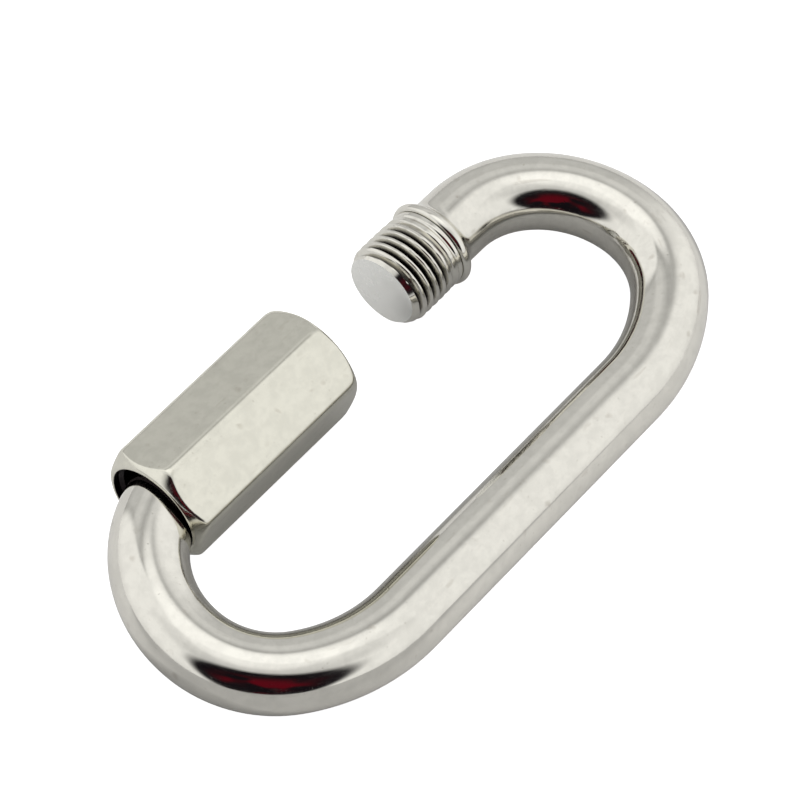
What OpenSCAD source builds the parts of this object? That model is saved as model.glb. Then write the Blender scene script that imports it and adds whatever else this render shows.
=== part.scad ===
// Chain quick link: a round bar bent into an open loop, and a hexagonal sleeve nut that
// screws across the gap in one side. Millimetres. The link lies as it comes to rest, on a
// corner of the nut and on its closed side, with its length along X and its gate towards +Y.

/* [Bar] */
// Diameter of the round bar
bar_d = 8; // [6:0.5:10]
// Clear width inside the loop, from the closed side to the gate side
inner_width = 17.8; // [14:0.1:24]
// Reach of each bow past the straight of the gate side
gate_bow = 12.3; // [11:0.1:15]
// Reach of each bow past the straight of the closed side
back_bow = 16.2; // [13:0.1:19]

/* [Thread] */
// Distance between two turns of the thread
pitch = 1; // [0.75:0.01:1.5]
// How far the thread stands out of the bar, whose ends are upset for it
thread_rise = 0.7; // [0.5:0.02:0.8]
// Depth of the thread, from crest to root
thread_depth = 0.8; // [0.7:0.01:0.9]
// Width of the flat on each crest
crest_flat = 0.15; // [0.1:0.05:0.3]
// How far the chamfers on the two ends of the bar go in from the crests
end_chamfer = 0.6; // [0.3:0.05:0.7]
// Length of these chamfers along the bar
end_lead = 1.2; // [0.5:0.1:2]
// Length over which the long thread runs out on the bar
runout = 0.6; // [0.3:0.1:1.5]

/* [Gate] */
// Threaded length of the stub, from its end face to the collar
stub_len = 7.4; // [4:0.05:9]
// Threaded length of the long end, which carries the nut
long_len = 15.5; // [12:0.1:17]
// Depth of the long end's face inside the open nut
end_setback = 1; // [0.5:0.1:3]
// Turns of the nut from fully open to the collar
open_turns = 18; // [14:1:22]
// Gap that is left between the closed nut and the collar
seat_gap = 0.05; // [0.02:0.01:0.2]
// How far the open nut runs past the start of the bow
nut_overrun = 3.85; // [2.5:0.05:4.5]

/* [Collar] */
// How far the collar stands out of the bar
collar_rise = 1.03; // [0.8:0.01:1.5]
// Width of the collar along the bar
collar_w = 1.8; // [1.5:0.05:4]
// Edge broken off the collar's front, where the nut seats
collar_front_break = 0.15; // [0.05:0.05:0.3]
// Edge broken off the collar's back, where it falls to the bar
collar_back_break = 0.95; // [0.1:0.05:0.95]
// Plain bar between the collar and its bow
collar_to_bow = 2.75; // [1:0.05:10]

/* [Nut] */
// Length of the nut
nut_len = 24.25; // [20:0.05:30]
// Wall from the bore to a flat
nut_wall = 1.14; // [1:0.01:3]
// Radial clearance of the bore on the thread
run_clear = 0.06; // [0.03:0.01:0.1]
// How far the long edges are rounded back from a sharp corner
edge_break = 0.2; // [0.1:0.05:0.4]
// Land between the round end faces and the flats
end_land = 0.45; // [0.1:0.05:0.6]
// Mean slope of the crowned end chamfers, in degrees from the end face
chamfer_slope = 30; // [20:5:45]
// Clearance of the bow in the nut's mouth
mouth_clear = 0.1; // [0.05:0.05:0.3]
// Smallest step from the bore to its mouth
mouth_step = 0.3; // [0.2:0.05:0.5]
// Lean of the lowest corner of the nut from straight down, in degrees
corner_lean = 10.5; // [5:0.5:25]

/* [Hidden] */
$fn = 96;
// Sides of a turn of the thread
thread_sides = 24;
// How far a cutting shape runs past what it cuts
over = 1;
// How far one stretch of the bar runs into the next
lap = 1e-8;

bar_r = bar_d/2;
half_w = inner_width/2 + bar_r;
major_r = bar_r + thread_rise;
root_r = major_r - thread_depth;
collar_r = bar_r + collar_rise;

// Each quarter of the loop is two arcs, one at the tip and one at the shoulder, that meet
// along the slope of a 3-4-5 triangle.
meet = [0.6, 0.8];
function arc_step(reach) = (reach - half_w)/(meet[0] + meet[1] - 1);
function shoulder_r(reach) = half_w + arc_step(reach)*meet[1];
function tip_r(reach) = shoulder_r(reach) - arc_step(reach);

// Places along the gate side, which is as long as the nut, its travel and the collar need.
travel = open_turns*pitch;
gate_len = nut_len - nut_overrun + travel + seat_gap + collar_w + collar_to_bow;
bow_x = gate_len/2;
tip_x = bow_x + gate_bow;
back_x = tip_x - back_bow;
nut_back_x = -bow_x - nut_overrun;
nut_front_x = nut_back_x + nut_len;
collar_x = nut_front_x + travel + seat_gap;
stub_x = collar_x - stub_len;
long_x = nut_front_x - end_setback;
long_root_x = long_x - long_len;

// The nut's hexagon and its bore, whose mouth clears the inside of the bow.
bore_r = major_r + run_clear;
hex_r = bore_r + nut_wall;
corner_r = hex_r/cos(30) - edge_break;
land_r = hex_r - end_land;
chamfer_len = (corner_r - land_r)*tan(chamfer_slope);
crown_x = (corner_r*corner_r - land_r*land_r + chamfer_len*chamfer_len)/(2*chamfer_len);
crown_r = sqrt(land_r*land_r + crown_x*crown_x);
bow_in_r = shoulder_r(gate_bow) - bar_r;
bow_off = shoulder_r(gate_bow) - sqrt(bow_in_r*bow_in_r - nut_overrun*nut_overrun);
mouth_r = max(bow_off + mouth_clear, bore_r + mouth_step);
bow_fit = shoulder_r(gate_bow) - bore_r + mouth_clear;
mouth_len = max(nut_overrun - sqrt(bow_in_r*bow_in_r - bow_fit*bow_fit), mouth_step);

// The attitude at rest: the nut's lowest corner and the closed side are on the ground.
corner_half = 30 - acos(hex_r/corner_r);
nut_drop = corner_r*cos(max(0, corner_lean - corner_half));
nut_side = corner_r*cos(max(0, 30 - corner_lean - corner_half));
rest_tilt = asin((nut_drop - bar_r)/(2*half_w));
rest_z = bar_r + half_w*sin(rest_tilt);
rest_y = (bar_r - max(collar_r, nut_side))/2;

module at_rest() {
    translate([0, rest_y, rest_z]) rotate([rest_tilt, 0, 0]) children();
}

// A solid turned about the X axis from pairs of place and radius.
module turned(outline) {
    ends = [outline[0][0], outline[len(outline) - 1][0]];
    rotate([0, 90, 0]) rotate_extrude()
        polygon([[0, ends[0]], for (p = outline) [p[1], p[0]], [0, ends[1]]]);
}

// A right-hand thread about the X axis, whole from x0 to x1. Each turn has three rows of
// points, at the root and at both edges of the crest, and every thread is on one helix.
module thread(x0, x1) {
    rows = [[0, root_r], [(pitch - crest_flat)/2, major_r], [(pitch + crest_flat)/2, major_r]];
    n = thread_sides;
    k = len(rows);
    first_x = (floor(x0/pitch) - 1)*pitch;
    last = k*ceil((x1 - first_x)/pitch);
    grid = [for (i = [0:n - 1], j = [0:last])
        let (a = 360*i/n, row = rows[j%k])
        [first_x + pitch*(i/n + floor(j/k)) + row[0], row[1]*cos(a), row[1]*sin(a)]];
    at = function (i, j) i < n ? i*(last + 1) + j : j + k;
    tail = len(grid);
    head = tail + 1;
    axis_ends = [[first_x + pitch/2, 0, 0], [first_x + pitch*(last/k + 1/2), 0, 0]];
    flanks = [for (i = [0:n - 1], j = [0:last - 1]) if (i < n - 1 || j < last - k)
        each [[at(i, j), at(i, j + 1), at(i + 1, j + 1)], [at(i, j), at(i + 1, j + 1), at(i + 1, j)]]];
    tail_rim = [for (i = [0:n]) at(i, 0), for (j = [k - 1:-1:0]) at(0, j)];
    head_rim = [for (i = [0:n - 1]) at(i, last), for (j = [1:k]) at(n - 1, last - j), at(0, last)];
    caps = concat(
        [for (i = [0:len(tail_rim) - 2]) [tail, tail_rim[i], tail_rim[i + 1]]],
        [for (i = [0:len(head_rim) - 2]) [head, head_rim[i + 1], head_rim[i]]]);
    polyhedron(concat(grid, axis_ends), concat(flanks, caps));
}

// A threaded end of the bar: the thread, cut to the ends and chamfers of a turned outline.
module threaded_end(outline) {
    intersection() {
        thread(outline[0][0], outline[len(outline) - 1][0]);
        turned(outline);
    }
}

// A straight stretch of the bar along X.
module bar(x0, x1) {
    turned([[x0, bar_r], [x1, bar_r]]);
}

// An arc of the bar in the plane of the loop, from one cut across the bar to another.
module arc(centre, r, cut0, cut1) {
    intersection() {
        translate(centre) rotate_extrude() translate([r, 0]) circle(d = bar_d);
        linear_extrude(2*bar_d, center = true) polygon([cut0[0], cut0[1], cut1[1], cut1[0]]);
    }
}

// A cut across the bar, from inside the loop to outside it.
function cut_at(point, out) = [point - bar_d*out, point + 2*bar_d*out];

// A quarter of the loop, from the end of a straight to the tip of the bow.
module quarter_bow(reach) {
    shoulder = [0, half_w - shoulder_r(reach)];
    tip = [reach - tip_r(reach), 0];
    joint = shoulder + shoulder_r(reach)*meet;
    along = [meet[1], -meet[0]];
    arc(shoulder, shoulder_r(reach), cut_at([0, half_w], [0, 1]), cut_at(joint + lap*along, meet));
    arc(tip, tip_r(reach), cut_at(joint, meet), cut_at([reach, 0], [1, 0]));
}

module bow() {
    translate([bow_x, 0, 0]) quarter_bow(gate_bow);
    translate([back_x, 0, 0]) mirror([0, 1, 0]) quarter_bow(back_bow);
}

module link_bar() {
    clear_r = major_r + over;
    face_r = major_r - end_chamfer;
    lead = (clear_r - face_r)*end_lead/end_chamfer;
    color("gainsboro") at_rest() {
        bow();
        mirror([1, 0, 0]) bow();
        translate([0, -half_w, 0]) bar(-back_x - lap, back_x + lap);
        translate([0, half_w, 0]) {
            bar(-bow_x - lap, long_root_x + runout/2);
            threaded_end([[long_root_x, root_r], [long_root_x + runout, major_r],
                [long_root_x + runout + over, clear_r], [long_x - lead, clear_r], [long_x, face_r]]);
            threaded_end([[stub_x, face_r], [stub_x + lead, clear_r], [collar_x + collar_w/2, clear_r]]);
            turned([[collar_x, collar_r - collar_front_break], [collar_x + collar_front_break, collar_r],
                [collar_x + collar_w - collar_back_break, collar_r],
                [collar_x + collar_w, collar_r - collar_back_break]]);
            bar(collar_x + collar_w/2, bow_x + lap);
        }
    }
}

// What is turned off an end of the nut: all that is outside a large ball, which leaves a
// chamfer with a slight crown.
module end_cut() {
    difference() {
        turned([[-over, corner_r + over], [crown_x/2, corner_r + over]]);
        translate([crown_x, 0, 0]) rotate([0, 90, 0]) sphere(r = crown_r);
    }
}

module sleeve_nut() {
    nut_turn = [corner_lean - rest_tilt, 0, 0];
    color("silver") at_rest() translate([nut_back_x, half_w, 0]) rotate(nut_turn) difference() {
        intersection() {
            rotate([0, 90, 0]) cylinder(r = hex_r/cos(30), h = nut_len, $fn = 6);
            turned([[0, corner_r], [nut_len, corner_r]]);
        }
        end_cut();
        translate([nut_len, 0, 0]) mirror([1, 0, 0]) end_cut();
        turned([[-over, bore_r], [nut_len + over, bore_r]]);
        turned([[-over, mouth_r], [mouth_len, mouth_r], [mouth_len + mouth_r, 0]]);
    }
}

link_bar();
sleeve_nut();
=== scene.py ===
# Chain quick link: a bent steel bar with a threaded gap, and the sleeve nut that closes it.
import math

import bpy
from mathutils import Euler, Matrix, Vector


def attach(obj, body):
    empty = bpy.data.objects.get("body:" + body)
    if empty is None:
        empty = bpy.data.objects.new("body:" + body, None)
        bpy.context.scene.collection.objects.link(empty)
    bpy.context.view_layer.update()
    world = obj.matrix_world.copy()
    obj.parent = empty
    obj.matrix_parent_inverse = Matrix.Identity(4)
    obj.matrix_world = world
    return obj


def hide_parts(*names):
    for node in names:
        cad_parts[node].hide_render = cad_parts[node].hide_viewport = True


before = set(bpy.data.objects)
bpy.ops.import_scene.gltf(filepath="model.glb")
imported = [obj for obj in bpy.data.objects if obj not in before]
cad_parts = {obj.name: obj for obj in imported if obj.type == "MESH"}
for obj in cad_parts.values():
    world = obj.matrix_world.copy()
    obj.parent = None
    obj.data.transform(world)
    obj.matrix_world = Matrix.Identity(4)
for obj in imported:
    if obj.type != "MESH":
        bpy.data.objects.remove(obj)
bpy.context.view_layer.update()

# Link bar: one length of round stainless bar, upset to a collar near one end, thread-rolled at
# both ends, bent into an open loop and polished all over. The short threaded end is the stub,
# which stands clear in the gap; the long one is inside the nut. Sizes are in millimetres.
MM = 0.001
bar_r, half_w, tip_x = 4.0, 12.9, 33.8
meet_angle = math.degrees(math.atan2(0.8, 0.6))
gate_end_x, gate_shoulder_r, gate_tip_r = 21.5, 11.7, 13.2
back_end_x, back_shoulder_r, back_tip_r = 17.6, 19.5, 11.25
stub_x, long_x, long_root_x, collar_x = 9.55, -2.1, -17.6, 16.95
pitch, crest_width, crest_r, root_r = 1.0, 0.15, 4.7, 3.9
end_face_r, end_slope, runout = 4.1, 0.5, 0.6
core_r = 1.0  # a stretch to be threaded is swept this thin, and its thread is raised from it
bar_sides, thread_step, bend_step = 96, pitch/16, 0.6


def span(start, end, step, radius):
    """Places along a straight of the gate side, each with the bar's radius there."""
    count = max(1, round(abs(end - start)/step))
    return [(start + (end - start)*i/count, half_w, radius) for i in range(count + 1)]


def bend(x, y, radius, start, end):
    """Places along an arc of the loop about (x, y), between two directions in degrees."""
    count = max(2, round(radius*math.radians(abs(end - start))/bend_step))
    turns = [math.radians(start + (end - start)*i/count) for i in range(count + 1)]
    return [(x + radius*math.cos(a), y + radius*math.sin(a), bar_r) for a in turns]


# The collar in section: a face square to the bar where the nut seats, an edge and a crown that
# polishing has rounded, and a back that falls away to the bar in a soft curve.
collar = [(0.0, core_r), (0.002, 4.65), (0.04, 4.78), (0.1, 4.87), (0.18, 4.93), (0.28, 4.98),
          (0.4, 5.01), (0.53, 5.03), (0.66, 5.03), (0.8, 4.99), (0.95, 4.9), (1.1, 4.74),
          (1.25, 4.55), (1.4, 4.37), (1.55, 4.23), (1.75, 4.11), (2.0, 4.03), (2.3, bar_r)]
past_collar_x = collar_x + 2.6
half_bow = (bend(gate_end_x, half_w - gate_shoulder_r, gate_shoulder_r, 90, meet_angle)[1:]
            + bend(tip_x - gate_tip_r, 0, gate_tip_r, meet_angle, 0)[1:]
            + bend(tip_x - back_tip_r, 0, back_tip_r, 0, -meet_angle)[1:]
            + bend(back_end_x, back_shoulder_r - half_w, back_shoulder_r, -meet_angle, -90)[1:])
closed_side = [(x, -y, r) for x, y, r in span(back_end_x, -back_end_x, bend_step, bar_r)]
stations = (span(stub_x, collar_x - thread_step, thread_step, core_r)
            + [(collar_x + dx, half_w, r) for dx, r in collar]
            + span(past_collar_x, gate_end_x, bend_step, bar_r)
            + half_bow + closed_side[1:-1]
            + [(-x, y, r) for x, y, r in reversed(half_bow)]
            + span(-gate_end_x, long_root_x - thread_step, bend_step, bar_r)
            + span(long_root_x, long_root_x + runout/2, thread_step, bar_r)
            + span(long_root_x + runout/2 + thread_step, long_x, thread_step, core_r))
line = bpy.data.curves.new("bar line", "CURVE")
line.dimensions = "3D"
line.twist_mode = "Z_UP"
spline = line.splines.new("POLY")
spline.points.add(len(stations) - 1)
for point, (x, y, r) in zip(spline.points, stations):
    point.co = (x, y, 0, 1)
    point.radius = r


class Wire:
    """An output of a node. Sums on wires add the Math or Vector Math nodes that they need."""

    def __init__(self, tree, socket):
        self.tree, self.socket = tree, socket

    def node(self, kind, settings=None, sockets=None, out=0):
        """A new node in the same tree: its settings first, then its sockets' values and links."""
        node = self.tree.nodes.new(kind)
        for name, value in (settings or {}).items():
            if name == "capture":
                node.capture_items.new(*value)
            else:
                setattr(node, name, value)
        for key, value in (sockets or {}).items():
            if isinstance(value, Wire):
                self.tree.links.new(value.socket, node.inputs[key])
            else:
                node.inputs[key].default_value = value
        return Wire(self.tree, node.outputs[out])

    def out(self, key):
        """Another output of the same node."""
        return Wire(self.tree, self.socket.node.outputs[key])

    def sum(self, operation, *terms, out=0):
        """A Math node on these terms, or a Vector Math node where one is a vector or a colour."""
        vector = any(isinstance(t, Wire) and t.socket.type in ("VECTOR", "RGBA") for t in terms)
        kind = "ShaderNodeVectorMath" if vector else "ShaderNodeMath"
        return self.node(kind, {"operation": operation}, dict(enumerate(terms)), out)

    def __add__(self, other): return self.sum("ADD", self, other)
    def __radd__(self, other): return self.sum("ADD", other, self)
    def __sub__(self, other): return self.sum("SUBTRACT", self, other)
    def __rsub__(self, other): return self.sum("SUBTRACT", other, self)
    def __mul__(self, other): return self.sum("MULTIPLY", self, other)
    def __rmul__(self, other): return self.sum("MULTIPLY", other, self)
    def __truediv__(self, other): return self.sum("DIVIDE", self, other)
    def __abs__(self): return self.sum("ABSOLUTE", self)

    def least(self, other): return self.sum("MINIMUM", self, other)
    def most(self, other): return self.sum("MAXIMUM", self, other)
    def along(self, way): return self.sum("DOT_PRODUCT", self, way, out="Value")
    def length(self): return self.sum("LENGTH", self, out="Value")
    def part(self, axis): return self.node("ShaderNodeSeparateXYZ", None, {0: self}, axis)

    def ramp(self, low, high, to_low=0.0, to_high=1.0):
        """This value's way from low to high, as a smooth step between two results."""
        return self.node("ShaderNodeMapRange", {"interpolation_type": "SMOOTHSTEP"},
                         {0: self, 1: low, 2: high, 3: to_low, 4: to_high})

    def between(self, none, full):
        """The colour at this share of the way from one colour to another."""
        return self.node("ShaderNodeMix", {"data_type": "RGBA"}, {0: self, 6: none, 7: full}, 2)


def polished_steel(name, colour, smooth, rough, place):
    """Polished stainless steel: a warm grey metal with faint streaks, fine scratches, specks
    and small pits, near-black painted shade where an attribute marks recesses, and dull where it
    was sawn."""
    clouded = (*[0.92*c for c in colour], 1)
    stained, shade_black, sawn_grey = (0.30, 0.25, 0.19, 1), (0.02, 0.016, 0.018, 1), (0.8, 0.8, 0.77, 1)
    streak_lay, scratch_lay = Vector((0.12, 1.1, 1.1)), Vector((0.7, 9.0, 9.0))
    cloud_scale, grain_scale, speck_scale, pit_scale = 0.5, 1.1, 0.7, 2.1
    speck_share, pit_share, stain_share = 0.28, 0.25, 0.2
    dent_strength, dent_depth = 0.15, 0.03*MM
    material = bpy.data.materials.new(name)
    material.use_nodes = True
    shader = material.node_tree.nodes["Principled BSDF"]
    lay = place(Wire(material.node_tree, shader.outputs[0]))
    streak = lay.node("ShaderNodeTexNoise", None,
                      {"Vector": lay*streak_lay, "Scale": 1.0, "Detail": 4.0})
    cloud = lay.node("ShaderNodeTexNoise", None,
                     {"Vector": lay, "Scale": cloud_scale, "Detail": 4.0})
    scratch = lay.node("ShaderNodeTexNoise", None,
                       {"Vector": lay*scratch_lay, "Scale": 1.0, "Detail": 2.0})
    wander = lay + cloud.out("Color")*Vector((1.6, 1.6, 1.6))
    grain = lay.node("ShaderNodeTexNoise", None,
                     {"Vector": wander, "Scale": grain_scale, "Detail": 3.0})
    cell = lay.node("ShaderNodeTexVoronoi", None, {"Vector": wander, "Scale": speck_scale})
    speck = cell.ramp(0.05, 0.35, 1.0, 0.0)*cell.out("Color").part(0).ramp(0.72, 1.0)
    pit = lay.node("ShaderNodeTexVoronoi", None, {"Vector": wander, "Scale": pit_scale})
    pits = pit.ramp(0.06, 0.28, 1.0, 0.0)*pit.out("Color").part(1).ramp(0.8, 1.0)
    stain = streak.ramp(0.58, 0.7)*cloud.ramp(0.5, 0.62)
    recess_shade = lay.node("ShaderNodeAttribute", {"attribute_name": "recess_shade"}, None, "Fac")
    sawn = lay.node("ShaderNodeAttribute", {"attribute_name": "sawn"}, None, "Fac")
    tint = (cloud*0.55 + grain*0.45).ramp(0.38, 0.62).between(clouded, (*colour, 1))
    marred = (speck*speck_share + pits*pit_share + stain*stain_share).between(tint, stained)
    # Painted shade: near black in recesses (thread grooves, the nut's bore and mouth), as the
    # attribute read above says.
    recess_shaded = recess_shade.ramp(0.25, 0.8).between(marred, shade_black)
    dulled = sawn.between(recess_shaded, sawn_grey)
    shine = (streak.ramp(0.35, 0.7, smooth, rough) + scratch.ramp(0.45, 0.75, 0.0, 0.05)
             + speck*0.08 + recess_shade*0.2 + sawn*0.2)
    dents = lay.node("ShaderNodeBump", None,
                     {"Height": scratch*0.15 - pits - speck*0.4,
                      "Strength": dent_strength, "Distance": dent_depth})
    links = material.node_tree.links
    links.new(dulled.socket, shader.inputs["Base Color"])
    links.new(shine.socket, shader.inputs["Roughness"])
    links.new(dents.socket, shader.inputs["Normal"])
    shader.inputs["Metallic"].default_value = 1.0
    return material


bar_finish = polished_steel(
    "polished bar", (0.765, 0.747, 0.683), 0.06, 0.12,
    lambda wire: wire.node("ShaderNodeAttribute", {"attribute_name": "unbent"}, None, "Vector"))
tree = bpy.data.node_groups.new("threaded bar", "GeometryNodeTree")
tree.interface.new_socket("Geometry", in_out="OUTPUT", socket_type="NodeSocketGeometry")
tree.interface.new_socket("Line", in_out="INPUT", socket_type="NodeSocketGeometry")
sizes = {}
for name, kind, value in (
        ("Sides", "Int", bar_sides), ("Pitch", "Float", pitch),
        ("Crest width", "Float", crest_width), ("Crest radius", "Float", crest_r),
        ("Root radius", "Float", root_r), ("End radius", "Float", end_face_r),
        ("End slope", "Float", end_slope), ("Stub end", "Float", stub_x),
        ("Long end", "Float", long_x), ("Thread root", "Float", long_root_x),
        ("Run-out", "Float", runout), ("Collar", "Float", collar_x),
        ("Finish", "Material", bar_finish)):
    socket = tree.interface.new_socket(name, in_out="INPUT", socket_type="NodeSocket" + kind)
    sizes[socket.identifier] = value
given = Wire(tree, tree.nodes.new("NodeGroupInput").outputs[0])

# The round bar is swept along its line. Each point keeps the middle of its own section, and its
# place on the bar as it was before bending, which the polishing marks follow.
rail = given.node("GeometryNodeCaptureAttribute", {"capture": ("VECTOR", "Middle")},
                  {0: given, 1: given.node("GeometryNodeInputPosition")})
rail_run = rail.node("GeometryNodeCaptureAttribute", {"capture": ("FLOAT", "Run")},
                     {0: rail, 1: given.node("GeometryNodeSplineParameter", out="Length")})
round_line = given.node("GeometryNodeCurvePrimitiveCircle", None,
                        {0: given.out("Sides"), "Radius": 1.0})
round_rim = round_line.node("GeometryNodeCaptureAttribute", {"capture": ("VECTOR", "Rim")},
                            {0: round_line, 1: given.node("GeometryNodeInputPosition")})
swept = rail_run.node("GeometryNodeCurveToMesh", None,
                      {0: rail_run, 1: round_rim, "Fill Caps": True,
                       "Scale": given.node("GeometryNodeInputRadius")})

# The threads are raised on it: crests and roots on one right-hand helix, held in by the
# chamfered ends, the run-out on the long end and the collar, before which the grooves fade.
fade_turns, fade_left, fade_drop = 3.4, 0.2, 0.12
middle = rail.out("Middle")
spoke = given.node("GeometryNodeInputPosition") - middle
width = spoke.length()
ray = spoke.sum("NORMALIZE", spoke)
x = middle.part(0)
turn = given.sum("ARCTAN2", ray.part(2), ray.part(1))/math.tau
phase = given.sum("FRACT", x/given.out("Pitch") - turn)
fall = abs(phase - 0.5).ramp(given.out("Crest width")/given.out("Pitch")/2, 0.5)
depth = given.out("Crest radius") - given.out("Root radius")
gap_middle = (given.out("Stub end") + given.out("Long end"))/2
half_gap = (given.out("Stub end") - given.out("Long end"))/2
chamfer_r = given.out("End radius") + (abs(x - gap_middle) - half_gap)*given.out("End slope")
runout_r = given.out("Root radius") + (x - given.out("Thread root"))/given.out("Run-out")*depth
before_collar = (given.out("Collar") - x)/given.out("Pitch")
rolled = before_collar.ramp(0.0, fade_turns, fade_left, 1.0)
shoulder_r = given.out("Crest radius") - (1 - rolled)*fade_drop
outer_r = chamfer_r.least(runout_r).least(shoulder_r)
cut_r = outer_r.least(given.out("Crest radius") - fall*depth*rolled)
on_gate = (given.sum("GREATER_THAN", middle.part(1), 0.0)
           * given.sum("LESS_THAN", x, given.out("Collar")))
in_thread = given.sum("LESS_THAN", width, 2*core_r)*on_gate
# Painted shade in the thread grooves: the deeper the groove, the nearer black the polish is
# coloured.
grooved = swept.node("GeometryNodeStoreNamedAttribute", {"data_type": "FLOAT", "domain": "POINT"},
                     {0: swept, "Name": "recess_shade", "Value": (outer_r - cut_r)/depth*in_thread})
rim_place = round_rim.out("Rim")
unbent = given.node("ShaderNodeCombineXYZ", None,
                    {0: rail_run.out("Run"), 1: rim_place.part(0)*bar_r,
                     2: rim_place.part(1)*bar_r})
marked = grooved.node("GeometryNodeStoreNamedAttribute",
                      {"data_type": "FLOAT_VECTOR", "domain": "POINT"},
                      {0: grooved, "Name": "unbent", "Value": unbent})
face_x = given.node("GeometryNodeInputPosition").part(0)
sawn = given.sum("LESS_THAN", abs(face_x - gap_middle), half_gap + thread_step/4)
faced = marked.node("GeometryNodeStoreNamedAttribute", {"data_type": "FLOAT", "domain": "FACE"},
                    {0: marked, "Name": "sawn", "Value": sawn*on_gate})
raised = ray.node("ShaderNodeVectorMath", {"operation": "SCALE"},
                  {0: ray, "Scale": width.most(cut_r*on_gate)})
threaded = faced.node("GeometryNodeSetPosition", None, {0: faced, "Position": middle + raised})

# At rest the link lies on a corner of the nut and on its closed side, so the loop is tilted.
hex_r, nut_corner_r, corner_lean = 5.9, 6.613, 10.5
corner_half = 30 - math.degrees(math.acos(hex_r/nut_corner_r))
nut_drop = nut_corner_r*math.cos(math.radians(corner_lean - corner_half))
nut_side = nut_corner_r*math.cos(math.radians(30 - corner_lean - corner_half))
rest_tilt = math.asin((nut_drop - bar_r)/(2*half_w))
rest_place = Vector((0, (bar_r - nut_side)/2, bar_r + half_w*math.sin(rest_tilt)))*MM
laid = threaded.node("GeometryNodeTransform", None,
                     {0: threaded, "Translation": rest_place,
                      "Rotation": Euler((rest_tilt, 0, 0)), "Scale": (MM, MM, MM)})
whole = laid.node("GeometryNodeRealizeInstances", None, {0: laid})
finished = whole.node("GeometryNodeSetMaterial", None,
                      {0: whole, "Material": given.out("Finish")})
tree.links.new(finished.socket, tree.nodes.new("NodeGroupOutput").inputs[0])
sweep = bpy.data.objects.new("bar sweep", line)
bpy.context.scene.collection.objects.link(sweep)
maker = sweep.modifiers.new("threaded bar", "NODES")
maker.node_group = tree
for identifier, value in sizes.items():
    maker[identifier] = value


def settled(obj, name):
    """A plain mesh piece of this name from an object with or without modifiers, shaded smooth
    up to the edges that the tools left sharp."""
    sharp_angle = math.radians(40)
    view = bpy.context.evaluated_depsgraph_get()
    mesh = bpy.data.meshes.new_from_object(obj.evaluated_get(view), depsgraph=view)
    bpy.data.objects.remove(obj)
    mesh.name = name
    mesh.shade_smooth()
    mesh.set_sharp_from_angle(angle=sharp_angle)
    piece = bpy.data.objects.new(name, mesh)
    bpy.context.scene.collection.objects.link(piece)
    return piece


bar = settled(sweep, "bent_bar")
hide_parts("link_bar")
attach(bar, "link")

# Sleeve nut: a length of hexagon bar, bored and threaded right through, its ends faced and
# chamfered in the lathe and its long edges rounded by polishing. The end that runs on to the
# bow has a wider mouth, so that the nut clears the bend, and a steeper chamfer.
nut_len, nut_back_x, whole_x = 24.25, -25.35, 2.5
bore_r, land_r, mouth_r, mouth_len = 4.76, 5.45, 5.1, 0.731
edge_soft, rim_soft = 0.17, 0.15
chamfer_slope, mouth_steeper = 30, 1.6
mouth_flat_wear, mouth_corner_wear = 0.35, 0.5
free_flat_wear, free_corner_wear = 0.45, 1.2
chamfer_len = (nut_corner_r - land_r)*math.tan(math.radians(chamfer_slope))
crown_x = (nut_corner_r**2 - land_r**2 + chamfer_len**2)/(2*chamfer_len)
crown_r = math.hypot(land_r, crown_x)
inner_crest_r, inner_clear, inner_start, inner_end, inner_fade = 4.12, 0.06, 2.6, 21.4, 0.3
half_sector = [29, 28, 27.2, 26.4, 25.4, 24, 21, 14, 7]
sector = [-30] + [-a for a in half_sector] + [0] + half_sector[::-1]
around = [60*k + a for k in range(6) for a in sector]


def hexagon(angle):
    """Radius of the nut's outline, its corners rounded, at an angle from the middle of a flat."""
    flat_angle = (angle + 30) % 60 - 30
    flat_r = hex_r/math.cos(math.radians(flat_angle))
    blend = max(0, edge_soft - abs(flat_r - nut_corner_r))
    return min(flat_r, nut_corner_r) - blend*blend/(4*edge_soft)


def chamfer_x(r):
    """Distance from an end at which the crowned chamfer has this radius."""
    return crown_x - math.sqrt(crown_r*crown_r - r*r)


def inner_thread_r(x, angle):
    """Radius of the nut's own thread, which is on the bar's helix and clear of its flanks."""
    phase = (x/pitch - angle/360) % 1
    half_crest = crest_width/pitch/2
    along = min(1, max(0, (abs(phase - 0.5) - half_crest)/(0.5 - half_crest)))
    ease = along*along*(3 - 2*along)
    return min(bore_r, max(inner_crest_r, crest_r + (root_r - crest_r)*ease + inner_clear))


def rounded(start, corner, end):
    """Five places round a corner that polishing has softened."""
    return [start*(1 - t)**2 + corner*2*t*(1 - t) + end*t*t for t in (0, 0.25, 0.5, 0.75, 1)]


def end_outline(angle, flat_wear, corner_wear, steeper):
    """Distance from an end of the nut and radius there, from the end face over the chamfer to
    the flat or corner at an angle. Wear is how far the chamfer's edge is softened."""
    r = hexagon(angle)
    rim, edge = Vector((0, land_r)), Vector((chamfer_x(r)*steeper, r))
    slope = edge - rim
    worn = flat_wear + (corner_wear - flat_wear)*(r - hex_r)/(nut_corner_r - hex_r)
    past_rim = rim + slope*min(0.3, 0.2/slope.length)
    before_edge = edge - slope*min(0.5, worn*0.6/slope.length)
    return (rounded(rim - Vector((0, rim_soft)), rim, past_rim)
            + rounded(before_edge, edge, edge + Vector((worn, 0)))
            + [Vector((whole_x, r))])


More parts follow.
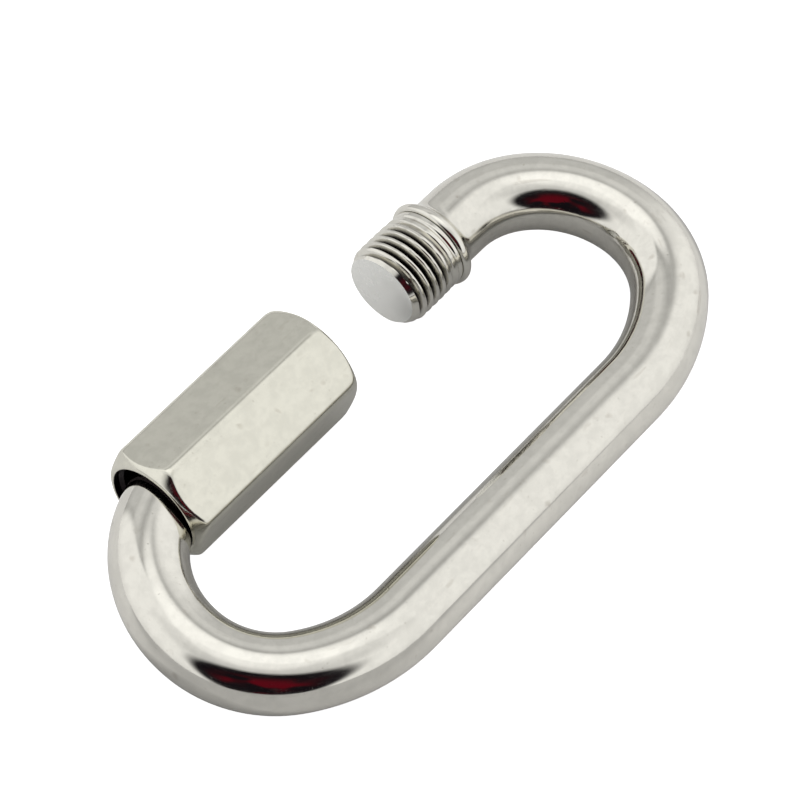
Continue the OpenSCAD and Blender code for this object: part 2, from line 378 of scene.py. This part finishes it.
mouth_end = zip(*[end_outline(a, mouth_flat_wear, mouth_corner_wear, mouth_steeper)
                  for a in around])
free_end = zip(*[end_outline(a, free_flat_wear, free_corner_wear, 1.0) for a in around])
rings = [[(x, r) for x, r in ring] for ring in mouth_end]
rings += [[(nut_len - x, r) for x, r in ring] for ring in reversed(list(free_end))]
sides, outer_rings = len(around), len(rings)
inside = [(nut_len, bore_r + 0.22), (nut_len - 0.03, bore_r + 0.16), (nut_len - 0.2, bore_r)]
rings += [[(x, r) for a in around] for x, r in inside]
count = round((inner_end - inner_start)/(pitch/12))
for i in range(count + 1):
    x = inner_end - (inner_end - inner_start)*i/count
    cut = min(1, (inner_end - x)/inner_fade, (x - inner_start)/inner_fade)
    thread_r = [inner_thread_r(nut_back_x + x, a + corner_lean) for a in around]
    rings.append([(x, bore_r + cut*(r - bore_r)) for r in thread_r])
mouth = [(mouth_len + mouth_r - bore_r, bore_r), (mouth_len, mouth_r), (0.1, mouth_r),
         (0.03, mouth_r + 0.01), (0, mouth_r + 0.04)]
# Painted shade: the whole bore and its thread are coloured near black, and the mouth's lip fades
# from that towards the end face.
mouth_shade = [1.0, 0.95, 0.9, 0.8, 0.5]
rings += [[(x, r) for a in around] for x, r in mouth]
ring_shade = [0.0]*outer_rings + [1.0]*(len(rings) - outer_rings - len(mouth)) + mouth_shade
rest = Matrix.Translation(rest_place) @ Matrix.Rotation(rest_tilt, 4, "X") @ Matrix.Scale(MM, 4)
lean = math.degrees(rest_tilt)
places = []
for ring in rings:
    for (x, r), a in zip(ring, around):
        spoke = math.radians(a + corner_lean - lean)
        place = Vector((nut_back_x + x, half_w + r*math.cos(spoke), r*math.sin(spoke)))
        places.append(rest @ place)
faces = []
for i in range(len(rings)):
    here, there = i*sides, (i + 1) % len(rings)*sides
    for j in range(sides):
        k = (j + 1) % sides
        faces.append((here + j, here + k, there + k, there + j))
nut_mesh = bpy.data.meshes.new("hexagon nut")
nut_mesh.from_pydata(places, [], faces)
recess_shade = nut_mesh.attributes.new("recess_shade", "FLOAT", "POINT")
recess_shade.data.foreach_set("value", [value for value in ring_shade for a in around])
nut_finish = polished_steel(
    "polished nut", (0.735, 0.72, 0.63), 0.1, 0.18,
    lambda wire: wire.node("ShaderNodeTexCoord", None, None, "Object")*Vector((1/MM,)*3))
nut_mesh.materials.append(nut_finish)
nut = settled(bpy.data.objects.new("nut turning", nut_mesh), "hexagon_nut")
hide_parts("sleeve_nut")
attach(nut, "nut")

# Studio: a pale matt table with painted shade on it, darker towards the camera's side and a
# painted shadow inside the loop, and soft white light all round. The polish shows a greyer wall
# on the far side and, on the near side, one dark opening; the camera itself sees plain white.
table_half = 3.0
to_door, across_door = Vector((-0.766, -0.643, 0)), Vector((0.643, -0.766, 0))
pale, shade_by_door, shadow_in_loop = 0.95, 0.6, 0.5
loop_form, loop_shift = Vector((0.25, 1, 0)), Vector((0, 0.003, 0))
table_mesh = bpy.data.meshes.new("table")
table_mesh.from_pydata([(-table_half, -table_half, 0), (table_half, -table_half, 0),
                        (table_half, table_half, 0), (-table_half, table_half, 0)],
                       [], [(0, 1, 2, 3)])
table = bpy.data.materials.new("pale table")
table.use_nodes = True
table_shader = table.node_tree.nodes["Principled BSDF"]
table_shader.inputs["Roughness"].default_value = 0.9
table_shader.inputs["Emission Strength"].default_value = 1.0
lit = Wire(table.node_tree, table_shader.outputs[0]).node(
    "ShaderNodeLightPath", None, None, "Is Camera Ray")
spot = lit.node("ShaderNodeTexCoord", None, None, "Object")
from_middle = (spot*loop_form + loop_shift).length()
# Painted shade on the table: a painted shadow inside the loop, and darker towards the camera's
# side.
shade = (spot.along(to_door).ramp(0.02, 0.042, pale, shade_by_door)
         .least(from_middle.ramp(0.0105, 0.0165, shadow_in_loop, pale)))
table.node_tree.links.new(shade.socket, table_shader.inputs["Base Color"])
# To camera rays the table also glows near white over this painted shade.
table.node_tree.links.new((lit*0.9 + 0.03).socket, table_shader.inputs["Emission Color"])
table_mesh.materials.append(table)
floor = bpy.data.objects.new("table", table_mesh)
bpy.context.scene.collection.objects.link(floor)

white, unlit, dark_red = (1, 1, 1, 1), (0.008, 0.006, 0.008, 1), (0.11, 0.004, 0.01, 1)
door_high, door_wide, door_tall = 0.36, 0.5, 0.29
wall_grey, wall_lighter, seam_grey = 0.42, 0.12, 0.12
room = bpy.data.worlds.new("studio")
room.use_nodes = True
bpy.context.scene.world = room
sky = room.node_tree.nodes["Background"]
toward = Wire(room.node_tree, sky.outputs[0]).node("ShaderNodeTexCoord", None, None, "Generated")
high, right_edge = toward.part(2), toward.part(0)
aside, above = toward.along(across_door), high - door_high
from_door = toward.sum("SQRT", aside*aside/door_wide + above*above/door_tall)
lintel = from_door.ramp(0.9, 1.35, 0.35, 0.0)*high.ramp(0.55, 0.8)
opening = (from_door.ramp(0.84, 1.04, 1.0, 0.0).most(lintel)
           * toward.along(to_door).ramp(0.0, 0.1))
left_edge = toward.part(1)*0.99 - toward.part(0)*0.139
far_wall = (left_edge.ramp(-0.16, 0.18)*right_edge.ramp(-0.06, 0.04)
            * high.ramp(0.87, 0.92, 1.0, 0.0))
wall_corner = right_edge.ramp(-0.03, 0.02) - right_edge.ramp(0.02, 0.08)
wall_top = high.ramp(0.82, 0.85) - high.ramp(0.88, 0.91)
seam = (wall_corner + wall_top)*far_wall
lighter = high.ramp(0.55, 0.66) - high.ramp(0.76, 0.82)
ceiling = high.ramp(0.9, 0.96, 1.06, 1.28) - high.ramp(0.0, 0.3, 0.1, 0.0)
soft_light = ceiling - far_wall*(wall_grey - lighter*wall_lighter) - seam*seam_grey
patch = toward.node("ShaderNodeTexNoise", None, {"Vector": toward, "Scale": 3.0, "Detail": 1.0})
reddened = patch.ramp(0.42, 0.58)*from_door.ramp(0.35, 0.8, 1.0, 0.0)
seen = toward.node("ShaderNodeLightPath", None, None, "Is Camera Ray")
glow = (opening*(1 - seen)).between(white, reddened.between(unlit, dark_red))
room.node_tree.links.new(glow.socket, sky.inputs["Color"])
room.node_tree.links.new((soft_light*(1 - seen) + seen).socket, sky.inputs["Strength"])
bpy.context.scene.view_settings.view_transform = "Standard"

# Camera: a long lens from above the nut's end and the closed side, turned a little about its
# own axis.
camera_place = Vector((-178.695, -138.279, 328.887))*MM
bearing, height, roll = math.radians(-51.984), math.radians(54.811), math.radians(1.934)
camera = bpy.data.objects.new("camera", bpy.data.cameras.new("camera"))
camera.data.lens = 178.55
camera.data.sensor_width = 36
camera.data.clip_start = 0.02
back = Vector((math.sin(bearing)*math.cos(height), -math.cos(bearing)*math.cos(height),
               math.sin(height)))
level = (-back).cross(Vector((0, 0, 1))).normalized()
right = level*math.cos(roll) + level.cross(-back)*math.sin(roll)
stand = Matrix((right, back.cross(right), back)).transposed().to_4x4()
camera.matrix_world = Matrix.Translation(camera_place) @ stand
bpy.context.scene.collection.objects.link(camera)
bpy.context.scene.camera = camera
